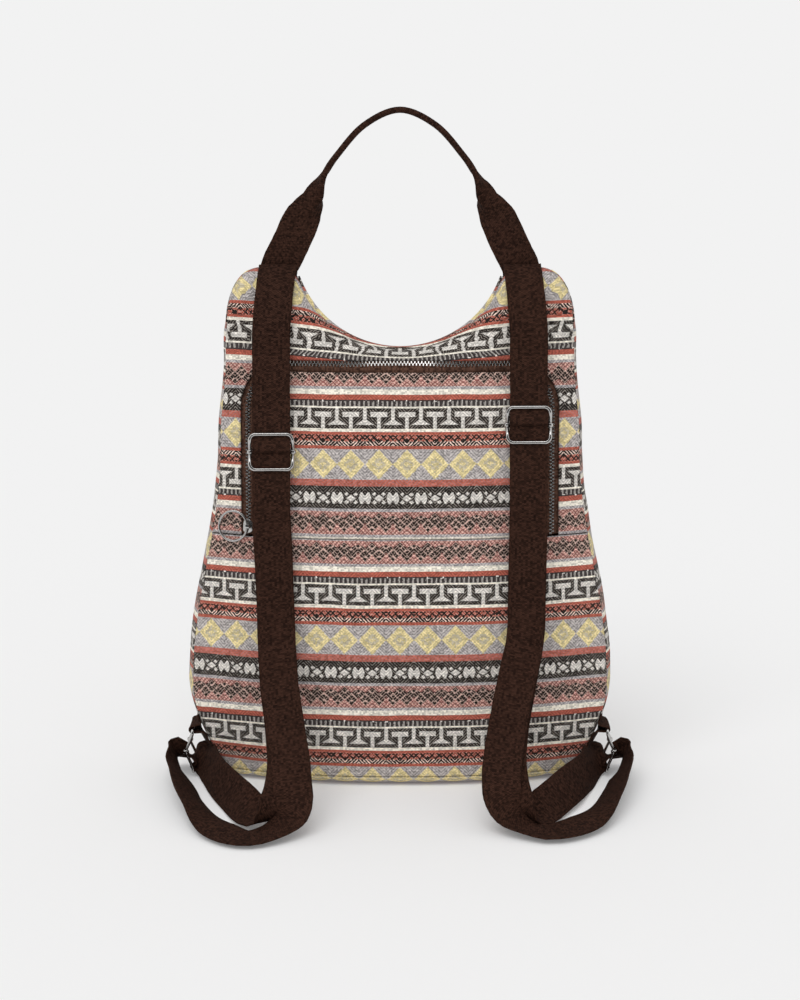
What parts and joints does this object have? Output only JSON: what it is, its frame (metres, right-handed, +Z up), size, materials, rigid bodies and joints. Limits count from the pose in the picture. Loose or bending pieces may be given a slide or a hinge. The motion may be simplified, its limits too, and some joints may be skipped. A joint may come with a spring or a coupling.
{
  "type": "anti-theft backpack",
  "caption": "Soft upright backpack that opens only from its strap side: U-shaped zip in the back panel, webbing shoulder straps with wire adjusters, and a looped carry handle.",
  "frame": {"origin": "centre of the flat base, on the floor it stands on", "axes": "+X to the right seen from the strap side, +Y from the strap side to the plain front, +Z up"},
  "size_m": [0.3908, 0.2672, 0.549],
  "materials": {
    "printed_fabric": "woven bands",
    "webbing": "ribbed webbing",
    "zip_tape": "fine twill",
    "nickel_wire": "bright plated"
  },
  "bodies": {
    "bag": {"front_panel": "printed_fabric", "back_lower_panel": "printed_fabric", "back_yoke_panel": "printed_fabric", "zip_flap_panel": "printed_fabric", "side_gusset_left": "printed_fabric", "side_gusset_right": "printed_fabric", "base_panel": "printed_fabric", "neckline_strip": "printed_fabric", "zip_tape_outer": "zip_tape", "zip_tape_inner": "zip_tape", "carry_handle": "webbing", "shoulder_strap_left": "webbing", "shoulder_strap_right": "webbing", "ring_tab_left": "webbing", "ring_tab_right": "webbing", "zip_teeth_outer": "nickel_wire", "zip_teeth_inner": "nickel_wire"},
    "zip_slider": {"zip_slider": "nickel_wire"},
    "zip_pull": {"zip_pull_ring": "nickel_wire"},
    "adjuster_left": {"adjuster_frame_left": "nickel_wire", "adjuster_bar_left": "nickel_wire", "strap_end_left": "webbing"},
    "adjuster_right": {"adjuster_frame_right": "nickel_wire", "adjuster_bar_right": "nickel_wire", "strap_end_right": "webbing"},
    "ring_left": {"strap_ring_left": "nickel_wire", "ring_bar_left": "nickel_wire"},
    "ring_right": {"strap_ring_right": "nickel_wire", "ring_bar_right": "nickel_wire"}
  },
  "joints": [
    {"name": "zip_slide", "type": "slide", "parent": "bag", "child": "zip_slider", "axis": [0, 0.1213, 0.9926], "range_m": [0, 0.088]},
    {"name": "zip_pull_swing", "type": "hinge", "parent": "zip_slider", "child": "zip_pull", "pos_m": [-0.12432, -0.0391, 0.21431], "axis": [0, 0.1213, 0.9926], "range_deg": [0, 115]},
    {"name": "adjuster_left_slide", "type": "slide", "parent": "bag", "child": "adjuster_left", "axis": [0, 0.1593, 0.9872], "range_m": [-0.015, 0.08]},
    {"name": "adjuster_right_slide", "type": "slide", "parent": "bag", "child": "adjuster_right", "axis": [0, 0.1593, 0.9872], "range_m": [-0.03, 0.065]},
    {"name": "ring_left_swing", "type": "hinge", "parent": "bag", "child": "ring_left", "pos_m": [-0.17237, -0.02, 0.041], "axis": [0, 1, 0], "range_deg": [-2, 12]},
    {"name": "ring_right_swing", "type": "hinge", "parent": "bag", "child": "ring_right", "pos_m": [0.17237, -0.02, 0.041], "axis": [0, -1, 0], "range_deg": [-2, 12]}
  ]
}
